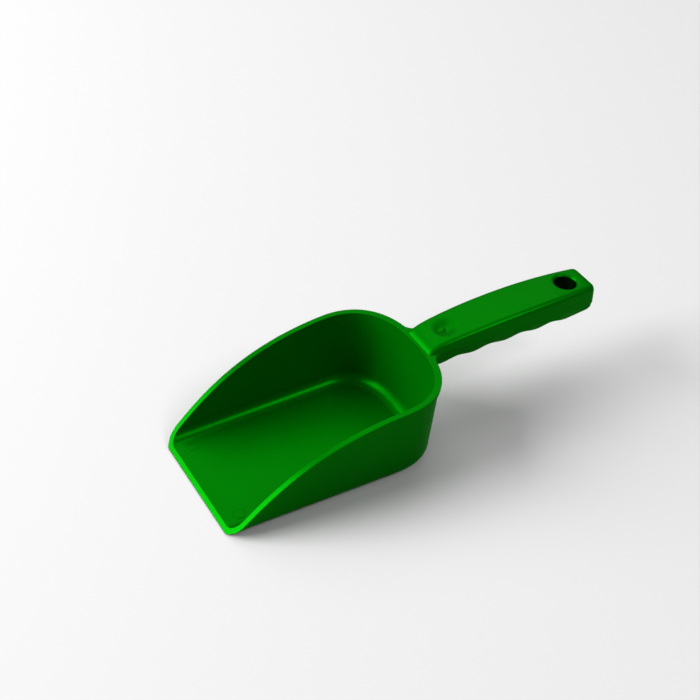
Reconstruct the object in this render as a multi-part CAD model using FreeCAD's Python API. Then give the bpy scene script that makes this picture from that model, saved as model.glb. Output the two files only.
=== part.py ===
import FreeCAD, Part
import math
import os

V = FreeCAD.Vector

# driving sizes in millimetres; x runs from the lip to the handle's end
overall_length = 281.5
lip_nose = 2.8
floor_thick = 3.0
wall_thick = 3.0
rim_height = 55.3
front_half_width = 44.8
side_taper = 0.0133
side_draft = 0.059
back_draft = 0.147
back_x = 142.0
corner_start_x = 110.5
corner_fullness = 0.68
inside_fillet = 6.5
outside_fillet = 9.5
back_foot_extra = 1.6
bead_proud = 0.9
bead_height = 3.0
bead_low_z = 3.2
rim_start_x = -3.44
rim_start_angle = 43.45
rim_start_pull = 33.2
rim_level_x = 124.9
rim_level_pull = 73.1

handle_half_width = 15.5
handle_root_half_width = 13.6
handle_end_half_width = 12.4
handle_end_round = 4.6
handle_rise = 12.0
handle_depth = 11.3
handle_edge_round = 3.0
grip_edge_round = 3.5
root_sweep = 4.0
ramp_rise = 4.2
seam_drop = 5.4
grip_inset = 0.5
shell_wall = 2.4
finger_count = 4
finger_depth = 1.6
tang_half_width = 8.0
tang_thick = 5.6
peg_radius = 2.6
hole_radius = 7.0
hole_flare = 2.6
hole_from_end = 16.7
bush_wall = 2.9
dimple_radius = 8.0
dimple_depth = 1.8
plug_radius = 2.4
fit_gap = 0.05

# sizes that follow from the ones above
end_x = overall_length - lip_nose
ejector_y = front_half_width - 11.9
shift = V(-(end_x - lip_nose) / 2.0, 0, 0)
back_outer_x = back_x + back_draft * (rim_height - floor_thick) + wall_thick + 0.2
handle_root_x = back_outer_x
grip_length = end_x - handle_root_x
handle_bottom_z = rim_height - handle_depth
seam_root_z = rim_height - 0.3
tang_top_z = rim_height - 1.3
tang_bottom_z = tang_top_z - tang_thick
finger_pitch = 0.189 * grip_length
finger_start_x = handle_root_x + 0.064 * grip_length
tang_end_x = handle_root_x + 0.42 * grip_length
hollow_front_x = handle_root_x + 0.09 * grip_length
peg_stations = (handle_root_x + 0.235 * grip_length, handle_root_x + 0.36 * grip_length)
dimple_x = handle_root_x + 0.138 * grip_length
hole_x = end_x - hole_from_end
bush_radius = hole_radius + bush_wall


def line(a, b):
    return Part.LineSegment(V(*a), V(*b)).toShape()


def bezier(*points):
    curve = Part.BezierCurve()
    curve.setPoles([V(*p) for p in points])
    return curve.toShape()


def bowl_plan(z, grow, back):
    """Plan outline at height z: tapering sides, full corners and a bowed back."""
    x0, x1 = -12.0, corner_start_x
    base = front_half_width + side_draft * (z - floor_thick) + grow
    y0 = base + side_taper * x0
    y1 = base + side_taper * x1
    pull = corner_fullness * (back - x1)
    cy = y1 + side_taper * pull
    ky = corner_fullness * y1
    return Part.Wire([
        line((x0, -y0, z), (x1, -y1, z)),
        bezier((x1, -y1, z), (x1 + pull, -cy, z), (back, -ky, z), (back, 0, z)),
        bezier((back, 0, z), (back, ky, z), (x1 + pull, cy, z), (x1, y1, z)),
        line((x1, y1, z), (x0, y0, z)),
        line((x0, y0, z), (x0, -y0, z))])


def bowl_body(bottom, grow, back_grow, fillet, foot_extra=0.0):
    """Drafted solid between two plan outlines, its bottom edge rounded."""
    top = rim_height + 12.0
    back_low = back_x + back_draft * (bottom - floor_thick) + back_grow
    back_high = back_x + back_draft * (top - floor_thick) + back_grow
    low = bowl_plan(bottom, grow, back_low + foot_extra)
    high = bowl_plan(top, grow, back_high)
    body = Part.makeLoft([low, high], True, True)
    edges = []
    for e in body.Edges:
        b = e.BoundBox
        if b.ZMax < bottom + 0.01 and b.XMax > -11.0:
            edges.append(e)
    return body.makeFillet(fillet, edges)


def rim_wire_points(dx, dz):
    a = math.radians(rim_start_angle)
    x0, x3 = rim_start_x + dx, rim_level_x + dx
    z0, z3 = dz, rim_height + dz
    p1 = (x0 + rim_start_pull * math.cos(a), 0, z0 + rim_start_pull * math.sin(a))
    return (x0, 0, z0), p1, (x3 - rim_level_pull, 0, z3), (x3, 0, z3)


def above_rim(dx, dz):
    """Everything above the rim line moved by dx, dz, used to trim the walls."""
    p0, p1, p2, p3 = rim_wire_points(dx, dz)
    far, high = back_x + 60.0, rim_height + 40.0
    left = (p0[0] - 30.0, 0, p0[2] - 30.0 * math.tan(math.radians(rim_start_angle)))
    face = Part.Face(Part.Wire([
        bezier(p0, p1, p2, p3),
        line(p3, (far, 0, p3[2])), line((far, 0, p3[2]), (far, 0, high)),
        line((far, 0, high), (left[0], 0, high)), line((left[0], 0, high), left),
        line(left, p0)]))
    face.translate(V(0, -120, 0))
    return face.extrude(V(0, 240, 0))


def handle_plan(z, grow, start):
    """Closed plan outline of the handle: slightly bellied, squared rounded end."""
    w0 = handle_root_half_width + grow
    wm = handle_half_width + grow
    we = handle_end_half_width + grow
    e = end_x + grow
    mid = handle_root_x + 0.475 * grip_length
    r = handle_end_round
    side = [
        bezier((start, -w0, z), (start + 22, -w0 - 1.6, z), (mid - 18, -wm, z), (mid, -wm, z)),
        bezier((mid, -wm, z), (mid + 24, -wm, z), (e - r - 16, -we - 2.1, z), (e - r, -we, z)),
        bezier((e - r, -we, z), (e - 0.42 * r, -we + 0.75, z), (e, -we + 0.5 * r, z),
               (e, -we + 1.25 * r, z))]
    mirror = [s.mirror(V(0, 0, 0), V(0, 1, 0)) for s in side]
    join = line((e, -we + 1.25 * r, z), (e, we - 1.25 * r, z))
    close = line((start, w0, z), (start, -w0, z))
    return Part.Wire(Part.__sortEdges__(side + [join] + mirror + [close]))


def seam_z(x):
    return seam_root_z - seam_drop * (x - handle_root_x) / grip_length


def side_slab(edges, reach=40.0):
    face = Part.Face(Part.Wire(Part.__sortEdges__(edges)))
    face.translate(V(0, -reach, 0))
    return face.extrude(V(0, 2 * reach, 0))


def top_line(drop=0.0):
    """Arched top of the handle as one curve from the ramp's head to past the end."""
    r, g, z = handle_root_x, grip_length, rim_height - drop
    return [(r + 0.03 * g, 0, z + ramp_rise), (r + 0.26 * g, 0, z + ramp_rise + 4.8),
            (r + 0.605 * g, 0, z + handle_rise), (r + 1.048 * g, 0, z + handle_rise - 4.5)]


def top_z(x):
    """Height of the arched top at x, found by halving."""
    p = top_line()
    low, high = 0.0, 1.0
    for _ in range(40):
        t = 0.5 * (low + high)
        u = 1.0 - t
        at = [u ** 3 * a + 3 * u * u * t * b + 3 * u * t * t * c + t ** 3 * d
              for a, b, c, d in zip(*p)]
        if at[0] < x:
            low = t
        else:
            high = t
    return at[2]


def upper_side(drop=0.0, raise_seam=0.0, front=None):
    """Side shape of the upper half: ramp, arched top, end and the sloping seam."""
    curve = top_line(drop)
    far = curve[3][0]
    if front is None:
        start, foot = handle_root_x, rim_height + 0.6
    else:
        start, foot = front, rim_height + ramp_rise - drop
        curve[0] = (front + 3.0, 0, foot + 1.3)
    low = (start, 0, seam_z(start) + raise_seam)
    end = (far, 0, seam_z(far) + raise_seam)
    return side_slab([
        line(low, (start, 0, foot)), line((start, 0, foot), curve[0]), bezier(*curve),
        line(curve[3], end), line(end, low)])


def grip_bottom(lift=0.0):
    """Underside line: a shallow arch carrying the finger waves."""
    first = finger_start_x
    last = first + finger_count * finger_pitch
    points = []
    steps = finger_count * 8
    for i in range(steps + 1):
        x = first + (last - first) * i / steps
        t = (x - first) / (last - first)
        base = handle_bottom_z - 0.9 + 1.6 * math.sin(math.pi * t)
        wave = finger_depth * 0.5 * (1 - math.cos(2 * math.pi * (x - first) / finger_pitch))
        points.append(V(x, 0, base + wave + lift))
    return first, last, points


def grip_side(lift=0.0, drop_seam=0.0, start=None):
    """Side shape of the lower half between the seam and the waved underside."""
    start = handle_root_x - 13.0 if start is None else start
    first, last, points = grip_bottom(lift)
    spline = Part.BSplineCurve()
    spline.interpolate(points)
    far = top_line()[3][0]
    p, q = points[0], points[-1]
    return side_slab([
        line((start, 0, seam_z(start) - drop_seam), (far, 0, seam_z(far) - drop_seam)),
        line((far, 0, seam_z(far) - drop_seam), (far, 0, q.z + 0.6)),
        line((far, 0, q.z + 0.6), (q.x, 0, q.z)), spline.toShape(),
        line((p.x, 0, p.z), (start, 0, p.z + 0.2)),
        line((start, 0, p.z + 0.2), (start, 0, seam_z(start) - drop_seam))])


def prism(wire, height):
    return Part.Face(wire).extrude(V(0, 0, height))


def cylinder(x, radius, z0, z1, y=0.0):
    return Part.makeCylinder(radius, z1 - z0, V(x, y, z0), V(0, 0, 1))


def long_edges(shape, z_low, z_high, x_low=0.0, x_high=999.0):
    keep = []
    for e in shape.Edges:
        c = e.CenterOfMass
        if z_low < c.z < z_high and x_low < c.x < x_high:
            keep.append(e)
    return keep


def outer_bowl():
    return bowl_body(0.0, wall_thick - side_draft * floor_thick, wall_thick + 0.2,
                     outside_fillet, back_foot_extra)


def rim_bead():
    proud = bowl_body(0.0, wall_thick - side_draft * floor_thick + bead_proud,
                      wall_thick + 0.2 + bead_proud, outside_fillet + bead_proud, back_foot_extra)
    bead = proud.common(above_rim(1.9, -bead_height))
    return bead.cut(Part.makeBox(60, 240, bead_low_z + 20, V(-30, -120, -20)))


def scoop_bowl():
    inner = bowl_body(floor_thick, 0.0, 0.0, inside_fillet)
    body = outer_bowl()
    bead = rim_bead()
    web = prism(web_plan(rim_height - bead_height), bead_height)
    shell = body.fuse([bead, web]).cut(inner)
    shell = shell.cut(above_rim(0.0, 0.0))
    nose = Part.makeBox(40, 240, 120, V(-40 - lip_nose, -120, -5))
    shell = shell.cut(nose).removeSplitter()
    root = handle_root_x - 9.0
    tang = Part.makeBox(tang_end_x - root, 2 * tang_half_width, tang_thick,
                        V(root, -tang_half_width, tang_bottom_z))
    ends = [e for e in tang.Edges if e.BoundBox.XMin > tang_end_x - 0.1
            and e.BoundBox.ZLength > 3.0]
    tang = tang.makeFillet(5.0, ends).cut(bowl_body(floor_thick, 0.6, 0.6, inside_fillet))
    shell = shell.fuse(tang)
    for x in peg_stations:
        shell = shell.cut(cylinder(x, peg_radius + 0.1, tang_bottom_z - 1, tang_top_z + 1))
    for x in (10.7, back_x - 23.8):
        for y in (-ejector_y, ejector_y):
            ring = cylinder(x, 3.9, floor_thick - 0.12, floor_thick + 1, y)
            ring = ring.cut(cylinder(x, 3.5, floor_thick - 1, floor_thick + 2, y))
            shell = shell.cut(ring)
    return shell.removeSplitter()


def web_plan(z):
    """Rim band running into the handle's sides with a concave sweep on each side."""
    reach = handle_root_x + 7.6
    w = handle_root_half_width
    x0 = handle_root_x + bead_proud
    side = [bezier((x0 - 2.8, -w - 10.4, z), (x0 - 1.5, -w - 5.4, z),
                   (x0 + 0.1, -w - 0.3, z), (reach, -w, z))]
    flip = [s.mirror(V(0, 0, 0), V(0, 1, 0)) for s in side]
    return Part.Wire(Part.__sortEdges__(side + flip + [
        line((reach, -w, z), (reach, w, z)),
        line((x0 - 2.8, -w - 10.4, z), (x0 - 2.8, w + 10.4, z))]))


def handle_top_envelope(deepen=0.0):
    body = prism(handle_plan(30.0, 0.0, handle_root_x), 50.0).common(upper_side(0.0, -deepen))
    top = [e for e in body.Edges if e.CenterOfMass.z > rim_height + 2.7
           and e.CenterOfMass.x > handle_root_x + 7.0]
    return body.makeFillet(handle_edge_round, top)


def handle_low_envelope():
    start = handle_root_x - 13.0
    body = prism(handle_plan(20.0, -grip_inset, start), 60.0).common(grip_side())
    low = []
    for e in body.Edges:
        b = e.BoundBox
        beside = b.YMin * b.YMax > 0 or b.XMin > end_x - 1.5
        if b.ZMax < handle_bottom_z + 4.0 and e.CenterOfMass.x > start + 4.0 and beside:
            low.append(e)
    return body.makeFillet(grip_edge_round, low)


def gripped_root(low):
    """Sweep the grip's front into the bowl's back with a concave corner."""
    bowl = outer_bowl()
    joined = low.fuse(bowl)
    ring = []
    for e in joined.Edges:
        c = e.CenterOfMass
        near = abs(c.x - handle_root_x + 1.5) < 4.0 and abs(c.y) < handle_root_half_width
        if near and handle_bottom_z - 0.8 < c.z < seam_root_z - 0.05:
            ring.append(e)
    joined = joined.makeFillet(root_sweep, ring)
    return joined.cut(bowl).cut(Part.makeBox(200, 300, 150, V(handle_root_x - 213, -150, -5)))


def plug_cylinder(radius, below, above):
    z = top_z(dimple_x) - dimple_depth
    return cylinder(dimple_x - 1.5, radius, z - below, z + above, 0.9)


def flare(z, tilt, up):
    """Rounded mouth of the bore: a ring of quarter-circle section cut from a disc."""
    r, f = hole_radius + hole_flare, hole_flare
    base = z - f if up else z - 2.0
    disc = Part.makeCylinder(r, f + 2.0, V(hole_x, 0, base), V(0, 0, 1))
    ring = Part.makeTorus(r, f, V(hole_x, 0, z - f if up else z + f), V(0, 0, 1))
    mouth = disc.cut(ring)
    mouth.rotate(V(hole_x, 0, z), V(0, 1, 0), tilt)
    return mouth


def handle_top_shell(bowl):
    body = handle_top_envelope()
    front = hollow_front_x
    high = rim_height + 20.0
    hollow = prism(handle_plan(30.0, -shell_wall, front), 60.0)
    hollow = hollow.common(upper_side(shell_wall, -4.0, front))
    pads = [cylinder(x, peg_radius + 2.0, tang_top_z + 0.1, high) for x in peg_stations]
    pads.append(cylinder(hole_x, bush_radius + 2.0, 20.0, high))
    pads.append(cylinder(dimple_x, dimple_radius + 1.5, top_z(dimple_x) - 4.6, high))
    for pad in pads:
        hollow = hollow.cut(pad)
    body = body.cut(hollow)
    for x in peg_stations:
        body = body.cut(cylinder(x, peg_radius + fit_gap, 20.0, tang_top_z + 4.6))
    body = body.cut(cylinder(hole_x, bush_radius + fit_gap, 20.0, high))
    dish = Part.makeCone(dimple_radius - 2.2, dimple_radius + 0.6, dimple_depth + 0.5,
                         V(dimple_x, 0, top_z(dimple_x) - dimple_depth), V(-0.1, 0, 1))
    body = body.cut(dish)
    body = body.cut(plug_cylinder(plug_radius + fit_gap, 5.0, 9.0))
    return body.cut(bowl)


def handle_grip_shell():
    body = gripped_root(handle_low_envelope())
    front = hollow_front_x
    step = shell_wall + fit_gap
    high = rim_height + 20.0
    hollow = prism(handle_plan(20.0, -step - 1.0, front), 60.0)
    hollow = hollow.common(grip_side(shell_wall, -6.0, front))
    for x in peg_stations:
        hollow = hollow.cut(cylinder(x, peg_radius + 2.0, 20.0, tang_bottom_z - 0.1))
    hollow = hollow.cut(cylinder(hole_x, bush_radius + 2.0, 20.0, high))
    tongue = prism(handle_plan(20.0, -step, front), 60.0)
    tongue = tongue.common(grip_side(1.0, -1.3, front))
    body = body.fuse(tongue).cut(hollow)
    slot = Part.makeBox(tang_end_x + 0.3 - handle_root_x + 11.0, 2 * tang_half_width + 0.2,
                        tang_thick + 3.0,
                        V(handle_root_x - 11.0, -tang_half_width - 0.1, tang_bottom_z - 0.1))
    body = body.cut(slot)
    far = end_x + 9.0
    over = side_slab([
        line((front, 0, seam_z(front)), (far, 0, seam_z(far))),
        line((far, 0, seam_z(far)), (far, 0, high)),
        line((far, 0, high), (front, 0, high)), line((front, 0, high), (front, 0, seam_z(front)))])
    body = body.cut(cylinder(hole_x, bush_radius + 4.0, 20.0, high).common(over))
    for x in peg_stations:
        body = body.fuse(cylinder(x, peg_radius, handle_bottom_z + 2.5, tang_top_z + 4.2))
    body = body.cut(cylinder(hole_x, bush_radius + fit_gap, 20.0, high))
    body = body.cut(prism(web_plan(rim_height - bead_height), bead_height + 1.0))
    return body.cut(rim_bead())


def hanging_hole_bush():
    low = handle_bottom_z + 0.3
    tube = cylinder(hole_x, bush_radius, low, rim_height + 20.0)
    tube = tube.common(handle_top_envelope(20.0))
    tube = tube.cut(cylinder(hole_x, hole_radius, low - 5.0, rim_height + 25.0))
    slope = (top_z(hole_x + 4.0) - top_z(hole_x - 4.0)) / 8.0
    tube = tube.cut(flare(top_z(hole_x), -math.degrees(math.atan(slope)), True))
    return tube.cut(flare(low, 0.0, False))


def gate_plug():
    stem = plug_cylinder(plug_radius, 3.0, 0.4)
    z = top_z(dimple_x) - dimple_depth + 0.4
    ball = Part.makeSphere(4.2, V(dimple_x - 1.5, 0.9, z - 3.45))
    dome = ball.common(plug_cylinder(plug_radius, 0.5, 6.0))
    return stem.fuse(dome).removeSplitter()


if __name__ == "__main__":
    os.makedirs("parts", exist_ok=True)
    bowl = scoop_bowl()
    nodes = {
        "scoop_bowl": bowl,
        "handle_top_shell": handle_top_shell(bowl),
        "handle_grip_shell": handle_grip_shell(),
        "hanging_hole_bush": hanging_hole_bush(),
        "gate_plug": gate_plug()}
    for name, shape in nodes.items():
        shape = shape.copy()
        shape.translate(shift)
        b = shape.optimalBoundingBox()
        print(name, shape.isValid(), len(shape.Solids), round(shape.Volume / 1000, 2),
              [round(v, 2) for v in (b.XMin, b.XMax, b.YMin, b.YMax, b.ZMin, b.ZMax)])
        shape.exportStep("parts/" + name + ".step")
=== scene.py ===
import bmesh
import bpy
import math
from mathutils import Matrix, Vector


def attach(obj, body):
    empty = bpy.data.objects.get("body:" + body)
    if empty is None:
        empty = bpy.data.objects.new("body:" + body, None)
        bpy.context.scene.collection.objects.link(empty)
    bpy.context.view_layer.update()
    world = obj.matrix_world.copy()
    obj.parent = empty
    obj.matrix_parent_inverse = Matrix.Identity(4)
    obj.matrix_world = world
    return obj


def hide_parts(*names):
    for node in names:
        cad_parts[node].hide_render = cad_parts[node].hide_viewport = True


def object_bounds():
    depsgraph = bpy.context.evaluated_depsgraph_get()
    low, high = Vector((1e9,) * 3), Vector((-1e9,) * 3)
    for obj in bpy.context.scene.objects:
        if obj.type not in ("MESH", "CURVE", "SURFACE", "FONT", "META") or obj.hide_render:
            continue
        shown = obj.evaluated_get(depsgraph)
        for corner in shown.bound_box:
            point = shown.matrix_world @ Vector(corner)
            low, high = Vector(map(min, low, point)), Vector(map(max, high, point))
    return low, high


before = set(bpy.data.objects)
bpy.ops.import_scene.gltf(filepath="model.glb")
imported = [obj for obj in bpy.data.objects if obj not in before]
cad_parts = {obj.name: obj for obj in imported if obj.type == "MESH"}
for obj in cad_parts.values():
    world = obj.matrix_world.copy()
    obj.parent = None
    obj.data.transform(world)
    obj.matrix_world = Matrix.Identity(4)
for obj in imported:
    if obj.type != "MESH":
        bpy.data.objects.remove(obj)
cadLow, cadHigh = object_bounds()
mm = 0.001
onPlane = 0.001 * mm     # a corner this near a cutting plane counts as on it
lipNose = 2.8            # the lip's blunt front lies this far before x = 0
lipX = cadLow.x + lipNose * mm
print("frame loaded", sorted(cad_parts))


def at(x, y, z):
    # a point given in mm, x counted from the lip
    return (lipX + x * mm, y * mm, z * mm)


def fromLip(point):
    # the same the other way
    return ((point.x - lipX) / mm, point.y / mm, point.z / mm)


def only(obj):
    if bpy.context.object and bpy.context.object.mode == "EDIT":
        bpy.ops.object.mode_set(mode="OBJECT")
    bpy.ops.object.select_all(action="DESELECT")
    obj.select_set(True)
    bpy.context.view_layer.objects.active = obj


def edit(obj):
    only(obj)
    bpy.ops.object.mode_set(mode="EDIT")
    bpy.ops.mesh.select_mode(type="VERT")
    bpy.ops.mesh.select_all(action="DESELECT")


def done():
    bpy.ops.object.mode_set(mode="OBJECT")


def settle(obj):
    # size and place go into the mesh, so the object itself stays at the origin
    only(obj)
    bpy.ops.object.transform_apply(location=True, rotation=True, scale=True)


def pick(obj, test):
    # selects the corners whose place, in mm from the lip, passes the test
    bpy.ops.mesh.select_mode(type="VERT")
    bpy.ops.mesh.select_all(action="DESELECT")
    mesh = bmesh.from_edit_mesh(obj.data)
    for corner in mesh.verts:
        corner.select_set(test(*fromLip(corner.co)))
    mesh.select_flush(True)
    bmesh.update_edit_mesh(obj.data)


def pickEdges(obj, test):
    # selects the edges whose two ends pass the test
    bpy.ops.mesh.select_mode(type="EDGE")
    bpy.ops.mesh.select_all(action="DESELECT")
    mesh = bmesh.from_edit_mesh(obj.data)
    for edge in mesh.edges:
        edge.select_set(test(*[fromLip(corner.co) for corner in edge.verts]))
    bmesh.update_edit_mesh(obj.data)


def move(z):
    bpy.ops.transform.translate(value=(0, 0, z * mm))


def stretch(x=1.0, y=1.0, z=1.0, about=(0, 0, 0)):
    bpy.ops.transform.resize(value=(x, y, z), center_override=at(*about))


def tip(angle, about):
    bpy.ops.transform.rotate(value=angle, orient_axis="Y", center_override=at(*about))


def pull(y=0.0, z=0.0):
    bpy.ops.mesh.extrude_region_move(TRANSFORM_OT_translate={"value": (0, y * mm, z * mm)})


def draw(x=0.0, y=0.0, z=0.0):
    # carries an outline on from its selected end
    bpy.ops.mesh.extrude_vertices_move(TRANSFORM_OT_translate={"value": (x * mm, y * mm, z * mm)})


def fill():
    bpy.ops.mesh.select_all(action="SELECT")
    bpy.ops.mesh.edge_face_add()


def split(place, way):
    # cuts every face along a plane
    bpy.ops.mesh.select_all(action="SELECT")
    bpy.ops.mesh.bisect(plane_co=at(*place), plane_no=way, threshold=onPlane)


def trim(place, way):
    # drops all that lies behind a plane and closes the cut
    bpy.ops.mesh.select_all(action="SELECT")
    bpy.ops.mesh.bisect(plane_co=at(*place), plane_no=way, use_fill=True, clear_inner=True,
                        threshold=onPlane)


def outward(obj):
    bpy.ops.mesh.select_all(action="SELECT")
    bpy.ops.mesh.remove_doubles(threshold=0.002 * mm)
    bpy.ops.mesh.normals_make_consistent(inside=False)


def bezier(name, start, startPull, endPull, end, steps):
    # an open curve with its two ends and the points they are pulled towards
    bpy.ops.object.select_all(action="DESELECT")
    bpy.ops.curve.primitive_bezier_curve_add(location=(0, 0, 0))
    line = bpy.context.object
    line.name = name
    first, last = line.data.splines[0].bezier_points
    for point in (first, last):
        point.handle_left_type = point.handle_right_type = "FREE"
    first.co = first.handle_left = start
    first.handle_right = startPull
    last.handle_left = endPull
    last.co = last.handle_right = end
    line.data.resolution_u = steps
    bpy.ops.object.convert(target="MESH")
    return line


def cylinder(name, centre, radius, low, high, sides, ends="NGON"):
    bpy.ops.object.select_all(action="DESELECT")
    bpy.ops.mesh.primitive_cylinder_add(vertices=sides, radius=radius * mm, depth=(high - low) * mm,
                                        location=at(*centre, (low + high) / 2), end_fill_type=ends)
    made = bpy.context.object
    made.name = name
    settle(made)
    return made


def combine(target, other, how):
    only(target)
    bpy.ops.object.modifier_add(type="BOOLEAN")
    step = target.modifiers[-1]
    step.operation = how
    step.object = other
    step.solver = "EXACT"
    bpy.ops.object.modifier_apply(modifier=step.name)
    bpy.data.objects.remove(other)


edgeFinish = {"weld": 0.02, "sliver": 0.005, "segments": 2, "smoothAngle": 35, "evenness": 60}


def finishEdges(obj, width, angle=0):
    # rounds the edges that turn by more than the angle, then evens out the shading
    f = edgeFinish
    edit(obj)
    bpy.ops.mesh.select_all(action="SELECT")
    bpy.ops.mesh.remove_doubles(threshold=f["weld"] * mm)
    bpy.ops.mesh.dissolve_degenerate(threshold=f["sliver"] * mm)
    bpy.ops.mesh.normals_make_consistent(inside=False)
    done()
    if width:
        bpy.ops.object.modifier_add(type="BEVEL")
        soften = obj.modifiers[-1]
        soften.width = width * mm
        soften.segments = f["segments"]
        soften.limit_method = "ANGLE"
        soften.angle_limit = math.radians(angle)
        soften.use_clamp_overlap = False
        bpy.ops.object.modifier_apply(modifier=soften.name)
    bpy.ops.object.shade_smooth_by_angle(angle=math.radians(f["smoothAngle"]))
    bpy.ops.object.modifier_add(type="WEIGHTED_NORMAL")
    weigh = obj.modifiers[-1]
    weigh.keep_sharp = True
    weigh.weight = f["evenness"]
    bpy.ops.object.modifier_apply(modifier=weigh.name)


def standFor(piece, node):
    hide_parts(node)
    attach(piece, "root")


# bowl
bowl = {
    # plan: half width at the lip and its growth per mm, then the full corners at the back
    "frontHalf": 44.8, "taper": 0.0133, "back": 142.0, "blankFront": -12.0,
    "cornerStart": 110.5, "cornerFullness": 0.574, "cornerSteps": 28,
    # walls: their lean per mm of height, and how far the foot reaches out at the back
    "sideDraft": 0.059, "backDraft": 0.147, "footExtra": 1.6,
    "floor": 3.0, "wall": 3.0, "backWall": 3.2,
    # a leaning wall takes a little less bevel than its round's radius
    "insideRound": 7.5, "outsideRound": 9.5, "roundSteps": 9, "roundShare": 0.95,
    # rim line: its start with slope in degrees and pull, its end with pull, its straight lip
    "rimHeight": 55.3, "rimStart": (-3.44, 43.45, 33.2), "rimEnd": (124.9, 73.1),
    "rimSteps": 84, "lipFlat": 9.0, "edgeRound": 0.25, "spare": 8.0,
    # bead: how proud it stands, its lower line's offset from the rim line, its lowest point
    "beadProud": 0.9, "beadDrop": (1.9, -3.0), "beadLow": 3.2,
    # web: the curve in plan from the bead to the handle's side
    "web": [(151.0, -24.0), (152.3, -19.0), (153.9, -13.9), (160.5, -13.6)],
    "webSteps": 20, "webLift": 0.06, "webTall": 12.0,
    # ejector marks: where they lie and their ring's radius, thickness and lift over the floor
    "ejectorX": (10.7, 118.2), "ejectorY": 32.9, "ejectorRing": (3.7, 0.17, 0.1),
    # long faces are cut at these places, so that the shading stays even
    "longCuts": (-36, -24, -12, 0, 12, 24, 36), "crossCuts": (5.5, 40, 80, 105, 125, 148, 153.4),
}


def draftedBody(name, low, high, grow, growBack, rounding, foot=0.0):
    # rectangle with full back corners, pulled up with draft, its foot rounded
    b = bowl
    start = b["cornerStart"]
    front = b["blankFront"]
    corner = start + 0.001

    def half(z):
        return b["frontHalf"] + b["taper"] * start + b["sideDraft"] * (z - b["floor"]) + grow

    def reach(z):
        extra = foot * (high - z) / (high - low)
        return b["back"] + b["backDraft"] * (z - b["floor"]) + growBack + extra - start

    h = half(low)
    bpy.ops.object.select_all(action="DESELECT")
    bpy.ops.mesh.primitive_plane_add(size=2.0, location=at((front + start + h) / 2, 0, low))
    body = bpy.context.object
    body.name = name
    body.scale = ((start + h - front) / 2 * mm, h * mm, 1)
    settle(body)
    edit(body)
    pick(body, lambda x, y, z: x > start)
    bpy.ops.mesh.bevel(offset=h * mm, segments=b["cornerSteps"], profile=b["cornerFullness"],
                       affect="VERTICES", clamp_overlap=False)
    bpy.ops.mesh.select_all(action="SELECT")
    bpy.ops.mesh.remove_doubles(threshold=0.01 * mm)
    pick(body, lambda x, y, z: x > corner)
    stretch(x=reach(low) / h, about=(start, 0, low))
    pick(body, lambda x, y, z: x < 0)
    stretch(y=(h + b["taper"] * (front - start)) / h, about=(front, 0, low))
    bpy.ops.mesh.select_all(action="SELECT")
    pull(z=high - low)
    stretch(y=half(high) / h, about=(0, 0, high))
    pick(body, lambda x, y, z: x > corner and z > high - 1)
    stretch(x=reach(high) / reach(low), about=(start, 0, high))
    outward(body)
    # the foot's outline, but not its straight front
    pickEdges(body, lambda p, q: max(p[2], q[2]) < low + 0.01 and max(p[0], q[0]) > 0)
    bpy.ops.mesh.bevel(offset=rounding * b["roundShare"] * mm, segments=b["roundSteps"], profile=0.5,
                       affect="EDGES", clamp_overlap=False)
    outward(body)
    done()
    return body


def outerBody(name, over, proud=0.0):
    b = bowl
    return draftedBody(name, 0.0, b["rimHeight"] + b["spare"] + over,
                       b["wall"] - b["sideDraft"] * b["floor"] + proud,
                       b["backWall"] + proud, b["outsideRound"] + proud, b["footExtra"])


def aboveRim(name, dx, dz):
    # everything over the rim line, moved by dx and dz
    b = bowl
    x0, angle, startPull = b["rimStart"]
    x3, endPull = b["rimEnd"]
    top = b["rimHeight"]
    rise, run = math.sin(math.radians(angle)), math.cos(math.radians(angle))
    # the block's reach: each side of the middle, behind and above the rim's end, along, before the lip
    side, behind, above, along, before = 70.0, 60.0, 40.0, 220.0, 30.0
    line = bezier(name, at(x0 + dx, -side, dz),
                  at(x0 + dx + startPull * run, -side, dz + startPull * rise),
                  at(x3 + dx - endPull, -side, top + dz), at(x3 + dx, -side, top + dz), b["rimSteps"])
    edit(line)
    pick(line, lambda x, y, z: x0 + dx + 0.3 < x < x0 + dx + b["lipFlat"])
    bpy.ops.mesh.dissolve_verts()
    pick(line, lambda x, y, z: x > x3 + dx - 0.01)
    draw(x=behind)
    draw(z=above)
    draw(x=-along)
    draw(z=-(top + above + before * rise / run))
    fill()
    pull(y=2 * side)
    outward(line)
    done()
    return line


def rimWeb():
    # the rim's outer band running into the handle's sides
    b = bowl
    low = b["rimHeight"] + b["beadDrop"][1] + b["webLift"]
    start, end = b["web"][0], b["web"][3]
    web = bezier("rimWeb", *[at(x, y, low) for x, y in b["web"]], b["webSteps"])
    edit(web)
    pick(web, lambda x, y, z: y > end[1] - 0.001)
    draw(y=-end[1])
    draw(x=start[0] - end[0])
    fill()
    pull(z=b["webTall"])
    outward(web)
    # one half is open at the middle, and its mirror image closes it
    pick(web, lambda x, y, z: y > -0.001)
    bpy.ops.mesh.delete(type="ONLY_FACE")
    done()
    bpy.ops.object.modifier_add(type="MIRROR")
    flip = web.modifiers[-1]
    flip.use_axis = (False, True, False)
    flip.merge_threshold = 0.01 * mm
    bpy.ops.object.modifier_apply(modifier=flip.name)
    edit(web)
    outward(web)
    done()
    return web


def ejectorMark(x, y):
    # shallow round mark left by an ejector pin
    wide, thick, lift = bowl["ejectorRing"]
    bpy.ops.object.select_all(action="DESELECT")
    bpy.ops.mesh.primitive_torus_add(major_radius=wide * mm, minor_radius=thick * mm,
                                     major_segments=64, minor_segments=12,
                                     location=at(x, y, bowl["floor"] + lift))
    ring = bpy.context.object
    settle(ring)
    return ring


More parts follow.
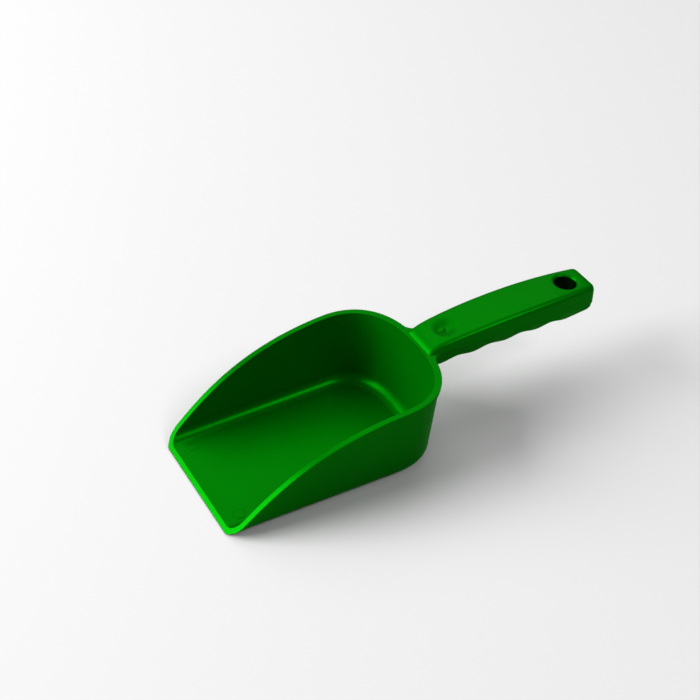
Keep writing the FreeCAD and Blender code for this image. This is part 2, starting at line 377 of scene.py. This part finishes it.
def makeBowl():
    b = bowl
    nose = (-lipNose, 0, 0)
    outer = outerBody("scoopBowl", 0)
    bead = outerBody("rimBead", 2, b["beadProud"])
    combine(bead, aboveRim("beadLine", *b["beadDrop"]), "INTERSECT")
    edit(bead)
    trim((0, 0, b["beadLow"]), (0, 0, 1))
    outward(bead)
    done()
    combine(outer, bead, "UNION")
    combine(outer, rimWeb(), "UNION")
    hollowTop = b["rimHeight"] + b["spare"] + 4
    combine(outer, draftedBody("bowlHollow", b["floor"], hollowTop, 0.0, 0.0, b["insideRound"]), "DIFFERENCE")
    combine(outer, aboveRim("rimLine", 0, 0), "DIFFERENCE")
    for x in b["ejectorX"]:
        for side in (-1, 1):
            combine(outer, ejectorMark(x, side * b["ejectorY"]), "DIFFERENCE")
    edit(outer)
    trim(nose, (1, 0, 0))
    outward(outer)
    for y in b["longCuts"]:
        split((0, y, 0), (0, 1, 0))
    for x in b["crossCuts"]:
        split((x, 0, 0), (1, 0, 0))
    done()
    finishEdges(outer, b["edgeRound"], 38)
    # the lip's front is trimmed once more after its edges are rounded
    edit(outer)
    trim(nose, (1, 0, 0))
    done()
    return outer


bowlPiece = makeBowl()
standFor(bowlPiece, "scoop_bowl")
print("bowl made", len(bowlPiece.data.polygons))


# handle
handle = {
    # places along it
    "root": 152.9, "rampFoot": 151.3, "rampHead": 163.5, "end": 278.7, "rim": 55.3,
    # roundings, and the share of its width that the lower half keeps below
    "endRound": 4.4, "topRound": 4.0, "lowRound": 3.5, "edgeRound": 0.3, "lowDraft": 0.93,
    # half width in plan as two curves that meet, and the top's height as one
    "sides": [[(152.9, 13.6), (174.9, 15.2), (194.9, 15.5), (212.9, 15.5)],
              [(212.9, 15.5), (236.9, 15.5), (258.1, 14.5), (278.7, 12.1)]],
    "arch": [(156.7, 59.5), (185.6, 64.3), (229.0, 67.3), (284.7, 62.8)],
    # ramp: its lift over the rim and how its two ends are pulled
    "rampLift": 0.12, "rampFootPull": (2.6, 2.6), "rampHeadPull": (5.8, 0.9), "rampRings": 14,
    # seam between the halves: its height at root and end, and how far the lower half is set in
    "seam": (55.0, 49.6), "inset": 0.5,
    "fingerStart": 160.94, "fingerPitch": 23.78, "fingerCount": 4, "fingerDepth": 1.6,
    # underside: height, its arch, and its rise over a run behind the last finger
    "bottom": 44.0, "bottomArch": (-0.9, 1.6), "tailRise": (0.6, 28),
    # flare into the bowl's back: radius, where it starts beside and below, and its rings
    "flareRound": 4.0, "flareSide": 2.7, "flareLow": 1.6, "flareRings": (11, 0.55),
    "intoBowl": 13.0, "neckRings": [157.5, 159.3],
    # heights of the plain bars that the halves are shaped from, and their cross cuts
    "topBlank": (48, 60), "gripBlank": (40, 52), "thin": 0.25,
    "stations": 42, "fingerRings": 10, "tailRings": 5, "endRings": 8, "roundSteps": 8,
}
dish = {"centre": 170.25, "depth": 2.6, "reach": 10.6, "rings": 14, "thick": 2.0, "lift": 0.03, "sides": 96}
bush = {
    "centre": 262.0, "bore": 7.0, "outer": 9.9, "flare": 2.6, "low": 44.3, "tilt": 2.83,
    # faces within the last of these margins round the bore are darkened with painted shade
    "seatGap": 0.05, "seatLow": 30, "seatHigh": 80, "rings": 8, "sides": 96, "paintedShadeEdge": 0.4,
}
nub = {
    "x": 168.75, "y": 0.9, "radius": 2.4, "low": 56.7, "shoulder": 58.95, "top": 59.75,
    "rings": 7, "sides": 48,
}


def curveAt(points, x):
    # height of a four-point curve at x, found by halving
    low, high = 0.0, 1.0
    for _ in range(30):
        t = (low + high) / 2
        u = 1 - t
        shares = (u ** 3, 3 * u * u * t, 3 * u * t * t, t ** 3)
        here = [sum(k * p[i] for k, p in zip(shares, points)) for i in (0, 1)]
        if here[0] < x:
            low = t
        else:
            high = t
    return here[1]


def sideAt(x):
    first, second = handle["sides"]
    return curveAt(first if x < first[3][0] else second, x)


def seamAt(x):
    h = handle
    start, end = h["seam"]
    return start + (end - start) * (x - h["root"]) / (h["end"] - h["root"])


def quarter(into, radius):
    # how far a quarter round has drawn in, this far past where it begins
    if into <= 0:
        return 0.0
    return radius - math.sqrt(max(radius * radius - into * into, 0.0))


def turnAt(x, end, radius):
    # the skin draws in round the handle's end
    return quarter(x - (end - radius), radius)


def flareAt(x, foot):
    # the grip's skin stands out where it turns into the bowl's back
    radius = handle["flareRound"]
    return quarter(foot + radius - x, radius)


def endSteps(end, radius):
    # stations that close in on the end so that it turns round a quarter circle
    rings = handle["endRings"]
    return [end - radius + radius * math.sin(math.pi / 2 * i / rings) for i in range(rings + 1)]


def roundedBar(name, stations, blank, rounding, upper):
    # a bar with its two long upper or lower edges rounded and a cross cut at each station
    wide = handle["sides"][0][3][1]
    low, high = blank
    x0, x1 = stations[0], stations[-1]
    bpy.ops.object.select_all(action="DESELECT")
    bpy.ops.mesh.primitive_cube_add(size=1.0, location=at((x0 + x1) / 2, 0, (low + high) / 2))
    bar = bpy.context.object
    bar.name = name
    bar.scale = ((x1 - x0) * mm, 2 * wide * mm, (high - low) * mm)
    settle(bar)
    edit(bar)
    level = high if upper else low
    pickEdges(bar, lambda p, q: abs(p[2] - level) < 0.01 and abs(q[2] - level) < 0.01
              and abs(p[0] - q[0]) > 1)
    bpy.ops.mesh.bevel(offset=rounding * mm, segments=handle["roundSteps"], profile=0.5, affect="EDGES")
    for x in stations[1:-1]:
        bpy.ops.mesh.select_all(action="SELECT")
        bpy.ops.mesh.bisect(plane_co=at(x, 0, 0), plane_no=(1, 0, 0))
    return bar


def shapeRings(bar, stations, blank, width, top, bottom):
    # every ring gets its own width, top and bottom; thin ones flatten their rounding
    wide = handle["sides"][0][3][1]
    rounding = handle["topRound"]
    low, high = blank
    middle = (low + high) / 2
    for x in stations:
        room = top(x) - bottom(x) - handle["thin"]
        pick(bar, lambda px, y, z: abs(px - x) < 0.004)
        stretch(y=width(x) / wide, about=(x, 0, middle))
        pick(bar, lambda px, y, z: abs(px - x) < 0.004 and z > middle)
        move(z=top(x) - high)
        if room < rounding:
            stretch(z=room / rounding, about=(x, 0, top(x)))
        pick(bar, lambda px, y, z: abs(px - x) < 0.004 and z < middle)
        move(z=bottom(x) - low)


def bushSeat(gap):
    b = bush
    return cylinder("bushSeat", (b["centre"], 0), b["outer"] + gap, b["seatLow"], b["seatHigh"], b["sides"])


def dishCutter():
    # its lower face swells from nothing at its edge to full depth in the middle
    d = dish
    arch = handle["arch"]
    surface = curveAt(arch, d["centre"])
    slope = (curveAt(arch, d["centre"] + 5) - curveAt(arch, d["centre"] - 5)) / 10
    foot = surface + d["lift"]
    cutter = cylinder("dishCutter", (d["centre"], 0), d["reach"], foot, foot + d["thick"], d["sides"])
    edit(cutter)
    pick(cutter, lambda x, y, z: z < surface + 0.1)
    was = (d["reach"], 0.0)
    for i in range(1, d["rings"]):
        radius = d["reach"] * (1 - i / d["rings"])
        sink = d["depth"] * math.cos(math.pi / 2 * radius / d["reach"]) ** 2
        pull(z=was[1] - sink)
        stretch(x=radius / was[0], y=radius / was[0], about=(d["centre"], 0, surface))
        was = (radius, sink)
    bpy.ops.mesh.select_all(action="SELECT")
    tip(math.atan(slope), (d["centre"], 0, surface))
    outward(cutter)
    done()
    return cutter


def makeTopShell():
    h = handle
    foot, ramp, end = h["rampFoot"], h["rampHead"], h["end"]
    last = end - h["endRound"]
    stations = [foot + (ramp - foot) * i / h["rampRings"] for i in range(h["rampRings"])]
    stations += [ramp + (last - ramp) * i / h["stations"] for i in range(h["stations"])]
    stations += endSteps(end, h["endRound"])
    bar = roundedBar("handleTopShell", stations, h["topBlank"], h["topRound"], True)
    head = curveAt(h["arch"], ramp)
    rampLine = [(foot, h["rim"] + h["rampLift"]),
                (foot + h["rampFootPull"][0], h["rim"] + h["rampFootPull"][1]),
                (ramp - h["rampHeadPull"][0], head - h["rampHeadPull"][1]), (ramp, head)]

    def width(x):
        return sideAt(max(x, h["root"])) - turnAt(x, end, h["endRound"])

    def top(x):
        if x < ramp:
            return curveAt(rampLine, x)
        return curveAt(h["arch"], x) - turnAt(x, end, h["topRound"])

    def bottom(x):
        return min(seamAt(x), h["seam"][0])

    shapeRings(bar, stations, h["topBlank"], width, top, bottom)
    outward(bar)
    done()
    combine(bar, dishCutter(), "DIFFERENCE")
    finishEdges(bar, h["edgeRound"], 62)
    combine(bar, bushSeat(0.0), "DIFFERENCE")
    return bar


def makeGripShell():
    h = handle
    first = h["fingerStart"]
    last = first + h["fingerPitch"] * h["fingerCount"]
    end = h["end"] - h["inset"]
    sideFoot, lowFoot = h["root"] - h["flareSide"], h["root"] - h["flareLow"]
    fingerRings = h["fingerCount"] * h["fingerRings"]
    flareRings, flareStep = h["flareRings"]
    stations = [h["root"] - h["intoBowl"]]
    stations += [sideFoot + flareStep * i for i in range(flareRings)] + h["neckRings"]
    stations += [first + (last - first) * i / fingerRings for i in range(fingerRings)]
    stations += [last + (end - h["endRound"] - last) * i / h["tailRings"] for i in range(h["tailRings"])]
    stations += endSteps(end, h["endRound"])
    bar = roundedBar("handleGripShell", stations, h["gripBlank"], h["lowRound"], False)

    def width(x):
        return (sideAt(max(x, h["root"])) - h["inset"] + flareAt(x, sideFoot)
                - turnAt(x, end, h["endRound"]))

    def bottom(x):
        t = min(max((x - first) / (last - first), 0.0), 1.0)
        base = h["bottom"] + h["bottomArch"][0] + h["bottomArch"][1] * math.sin(math.pi * t)
        if x < first:
            return base - flareAt(x, lowFoot)
        if x > last:
            rise, run = h["tailRise"]
            return base + rise * (x - last) / run + turnAt(x, end, h["lowRound"])
        return base + h["fingerDepth"] * 0.5 * (1 - math.cos(2 * math.pi * (x - first) / h["fingerPitch"]))

    shapeRings(bar, stations, h["gripBlank"], width, seamAt, bottom)
    pick(bar, lambda x, y, z: z < 0.5 * (seamAt(x) + bottom(x)))
    stretch(y=h["lowDraft"])
    outward(bar)
    done()
    combine(bar, bushSeat(bush["seatGap"]), "DIFFERENCE")
    combine(bar, outerBody("bowlBack", 4), "DIFFERENCE")
    finishEdges(bar, 0)
    return bar


def makeBush():
    b = bush
    middle = (b["centre"], 0)
    top = curveAt(handle["arch"], b["centre"])
    tube = cylinder("hangingHoleBush", middle, b["bore"], b["low"] + b["flare"], top - b["flare"],
                    b["sides"], "NOTHING")
    edit(tube)
    for way in (1, -1):
        level = top - b["flare"] if way > 0 else b["low"] + b["flare"]
        pick(tube, lambda x, y, z: abs(z - level) < 0.01)
        radius, height = b["bore"], level
        for i in range(1, b["rings"] + 1):
            turn = math.pi / 2 * i / b["rings"]
            wider = b["bore"] + b["flare"] * (1 - math.cos(turn))
            further = level + way * b["flare"] * math.sin(turn)
            pull(z=further - height)
            stretch(x=wider / radius, y=wider / radius, about=(*middle, further))
            radius, height = wider, further
        pull()
        stretch(x=b["outer"] / radius, y=b["outer"] / radius, about=(*middle, height))
        if way > 0:
            pick(tube, lambda x, y, z: z > level + 0.1)
            tip(-math.radians(b["tilt"]), (*middle, top))
    # the mouth's outermost two rings lie on the handle's arched top
    half = b["sides"] // 2
    for ring in (b["bore"] + b["flare"], b["outer"]):
        for i in range(half + 1):
            turn = math.pi * i / half
            x = b["centre"] + ring * math.cos(turn)
            tilted = top - math.tan(math.radians(b["tilt"])) * (x - b["centre"])
            near = 0.08 * abs(math.sin(turn)) + 0.02
            pick(tube, lambda px, y, z: z > (top + b["low"]) / 2 and abs(px - x) < near
                 and abs(math.hypot(px - b["centre"], y) - ring) < 0.05)
            move(z=curveAt(handle["arch"], x) - tilted)

    def onOutside(corner):
        return abs(math.hypot(corner[0] - b["centre"], corner[1]) - b["outer"]) < 0.1

    pickEdges(tube, lambda p, q: onOutside(p) and onOutside(q))
    bpy.ops.mesh.bridge_edge_loops()
    outward(tube)
    done()
    bpy.ops.object.shade_smooth_by_angle(angle=math.radians(50))
    # the bore's faces take a darker copy of the plastic in their own slot, painted shade for the shadow
    # inside the hole
    for face in tube.data.polygons:
        x, y, z = fromLip(face.center)
        if math.hypot(x - b["centre"], y) < b["bore"] + b["paintedShadeEdge"]:
            face.material_index = 1
    return tube


def makePlug():
    n = nub
    plug = cylinder("gatePlug", (n["x"], n["y"]), n["radius"], n["low"], n["shoulder"], n["sides"])
    edit(plug)
    pick(plug, lambda x, y, z: z > n["shoulder"] - 0.01)
    rise = n["top"] - n["shoulder"]
    was = (1.0, 0.0)
    for i in range(1, n["rings"]):
        turn = math.pi / 2 * i / n["rings"]
        now = (math.cos(turn), math.sin(turn))
        pull(z=rise * (now[1] - was[1]))
        stretch(x=now[0] / was[0], y=now[0] / was[0], about=(n["x"], n["y"], n["top"]))
        was = now
    outward(plug)
    done()
    bpy.ops.object.shade_smooth_by_angle(angle=math.radians(60))
    return plug


topPiece = makeTopShell()
standFor(topPiece, "handle_top_shell")
gripPiece = makeGripShell()
standFor(gripPiece, "handle_grip_shell")
bushPiece = makeBush()
standFor(bushPiece, "hanging_hole_bush")
plugPiece = makePlug()
standFor(plugPiece, "gate_plug")
print("handle made")


# plastic
plastic = {
    # the third value darkens the bore's copy of the plastic, painted shade for the shadow in the hole
    "deep": (0.0, 0.102, 0.0004), "fresh": (0.0, 0.122, 0.0008), "borePaintedShade": 0.08,
    "cloudScale": 28.0, "cloudDetail": 3.0, "grainScale": 900.0, "grainDetail": 2.0,
    "roughness": (0.29, 0.41), "bumpStrength": 0.05, "bumpDepth": 0.1,
    "lustre": 0.46, "specular": 0.02, "sheen": (0.01, 1.0, 0.02, 1.0),
}


def greenPlastic(name, shadeScale=1.0):
    p = plastic
    mat = bpy.data.materials.new(name)
    mat.use_nodes = True
    tree = mat.node_tree
    tree.nodes.clear()
    new, link = tree.nodes.new, tree.links.new
    out = new("ShaderNodeOutputMaterial")
    shader = new("ShaderNodeBsdfPrincipled")
    link(shader.outputs["BSDF"], out.inputs["Surface"])
    coords = new("ShaderNodeTexCoord")
    # the colour drifts a little, as in moulded plastic
    cloud = new("ShaderNodeTexNoise")
    cloud.inputs["Scale"].default_value = p["cloudScale"]
    cloud.inputs["Detail"].default_value = p["cloudDetail"]
    link(coords.outputs["Object"], cloud.inputs["Vector"])
    tint = new("ShaderNodeMix")
    tint.data_type = "RGBA"
    # a scale below one darkens the colour, painted shade
    tint.inputs["A"].default_value = [c * shadeScale for c in p["deep"]] + [1.0]
    tint.inputs["B"].default_value = [c * shadeScale for c in p["fresh"]] + [1.0]
    link(cloud.outputs["Fac"], tint.inputs["Factor"])
    link(tint.outputs["Result"], shader.inputs["Base Color"])
    # a fine grain breaks up the gloss
    grain = new("ShaderNodeTexNoise")
    grain.inputs["Scale"].default_value = p["grainScale"]
    grain.inputs["Detail"].default_value = p["grainDetail"]
    link(coords.outputs["Object"], grain.inputs["Vector"])
    rough = new("ShaderNodeMapRange")
    rough.inputs["To Min"].default_value, rough.inputs["To Max"].default_value = p["roughness"]
    link(grain.outputs["Fac"], rough.inputs["Value"])
    link(rough.outputs["Result"], shader.inputs["Roughness"])
    bump = new("ShaderNodeBump")
    bump.inputs["Strength"].default_value = p["bumpStrength"]
    bump.inputs["Distance"].default_value = p["bumpDepth"] * mm
    link(grain.outputs["Fac"], bump.inputs["Height"])
    link(bump.outputs["Normal"], shader.inputs["Normal"])
    shader.inputs["Specular IOR Level"].default_value = p["specular"]
    shader.inputs["Metallic"].default_value = p["lustre"]
    shader.inputs["Specular Tint"].default_value = p["sheen"]
    return mat


green = greenPlastic("greenPlastic")
for piece in (bowlPiece, topPiece, gripPiece, bushPiece, plugPiece):
    piece.data.materials.append(green)
# a darker copy for the bore, painted shade for the shadow inside the hole
bushPiece.data.materials.append(greenPlastic("greenPlasticBorePaintedShade", plastic["borePaintedShade"]))
print("plastic made")


# floor
floor = {"size": 6.0, "drop": 0.2, "colour": (0.5, 0.5, 0.5, 1), "roughness": 0.9}
bpy.ops.object.select_all(action="DESELECT")
bpy.ops.mesh.primitive_plane_add(size=floor["size"], location=(0, 0, -floor["drop"] * mm))
ground = bpy.context.object
ground.name = "paleFloor"
floorMat = bpy.data.materials.new("paleFloor")
floorMat.use_nodes = True
floorShader = floorMat.node_tree.nodes["Principled BSDF"]
floorShader.inputs["Base Color"].default_value = floor["colour"]
floorShader.inputs["Roughness"].default_value = floor["roughness"]
ground.data.materials.append(floorMat)


# camera, its place in mm from the lip and its angles in degrees
cameraSetup = {
    "place": (-238.06, -589.37, 637.17), "azimuth": -30.02, "elevation": 39.84, "roll": 1.32,
    "lens": 75.74, "sensor": 36, "nearest": 0.01,
}
azimuth, elevation, roll = (math.radians(cameraSetup[k]) for k in ("azimuth", "elevation", "roll"))
right = Vector((math.cos(azimuth), math.sin(azimuth), 0))
up = Vector((-math.sin(azimuth) * math.sin(elevation), math.cos(azimuth) * math.sin(elevation),
             math.cos(elevation)))
back = Vector((math.sin(azimuth) * math.cos(elevation), -math.cos(azimuth) * math.cos(elevation),
               math.sin(elevation)))
across = math.cos(roll) * right + math.sin(roll) * up
upright = math.cos(roll) * up - math.sin(roll) * right
facing = Matrix((across, upright, back)).transposed()
bpy.ops.object.camera_add(location=at(*cameraSetup["place"]), rotation=facing.to_euler())
camera = bpy.context.object
camera.data.lens = cameraSetup["lens"]
camera.data.sensor_width = cameraSetup["sensor"]
camera.data.clip_start = cameraSetup["nearest"]
bpy.context.scene.camera = camera


# light, in metres and watts; every lamp looks at the same point
room = {"colour": (1, 1, 1, 1), "strength": 0.24}
lamps = {
    "backLeftLight": {"place": (-2.6, 1.3, 1.45), "size": 2.4, "power": 250.0},
    "backRightLight": {"place": (0.6, 1.6, 2.4), "size": 2.8, "power": 50.0},
    "overheadLight": {"place": (1.1, -1.6, 2.1), "size": 0.8, "power": 26.0},
}
lampAim = Vector((0, 0, 0.03))
world = bpy.data.worlds.new("softRoom")
bpy.context.scene.world = world
world.use_nodes = True
world.node_tree.nodes["Background"].inputs["Color"].default_value = room["colour"]
world.node_tree.nodes["Background"].inputs["Strength"].default_value = room["strength"]
for name, setup in lamps.items():
    bpy.ops.object.light_add(type="AREA", location=setup["place"])
    lamp = bpy.context.object
    lamp.name = name
    lamp.data.energy = setup["power"]
    lamp.data.shape = "SQUARE"
    lamp.data.size = setup["size"]
    lamp.rotation_euler = (lampAim - Vector(setup["place"])).to_track_quat("-Z", "Y").to_euler()
bpy.context.scene.view_settings.view_transform = "Standard"
print("stage set")
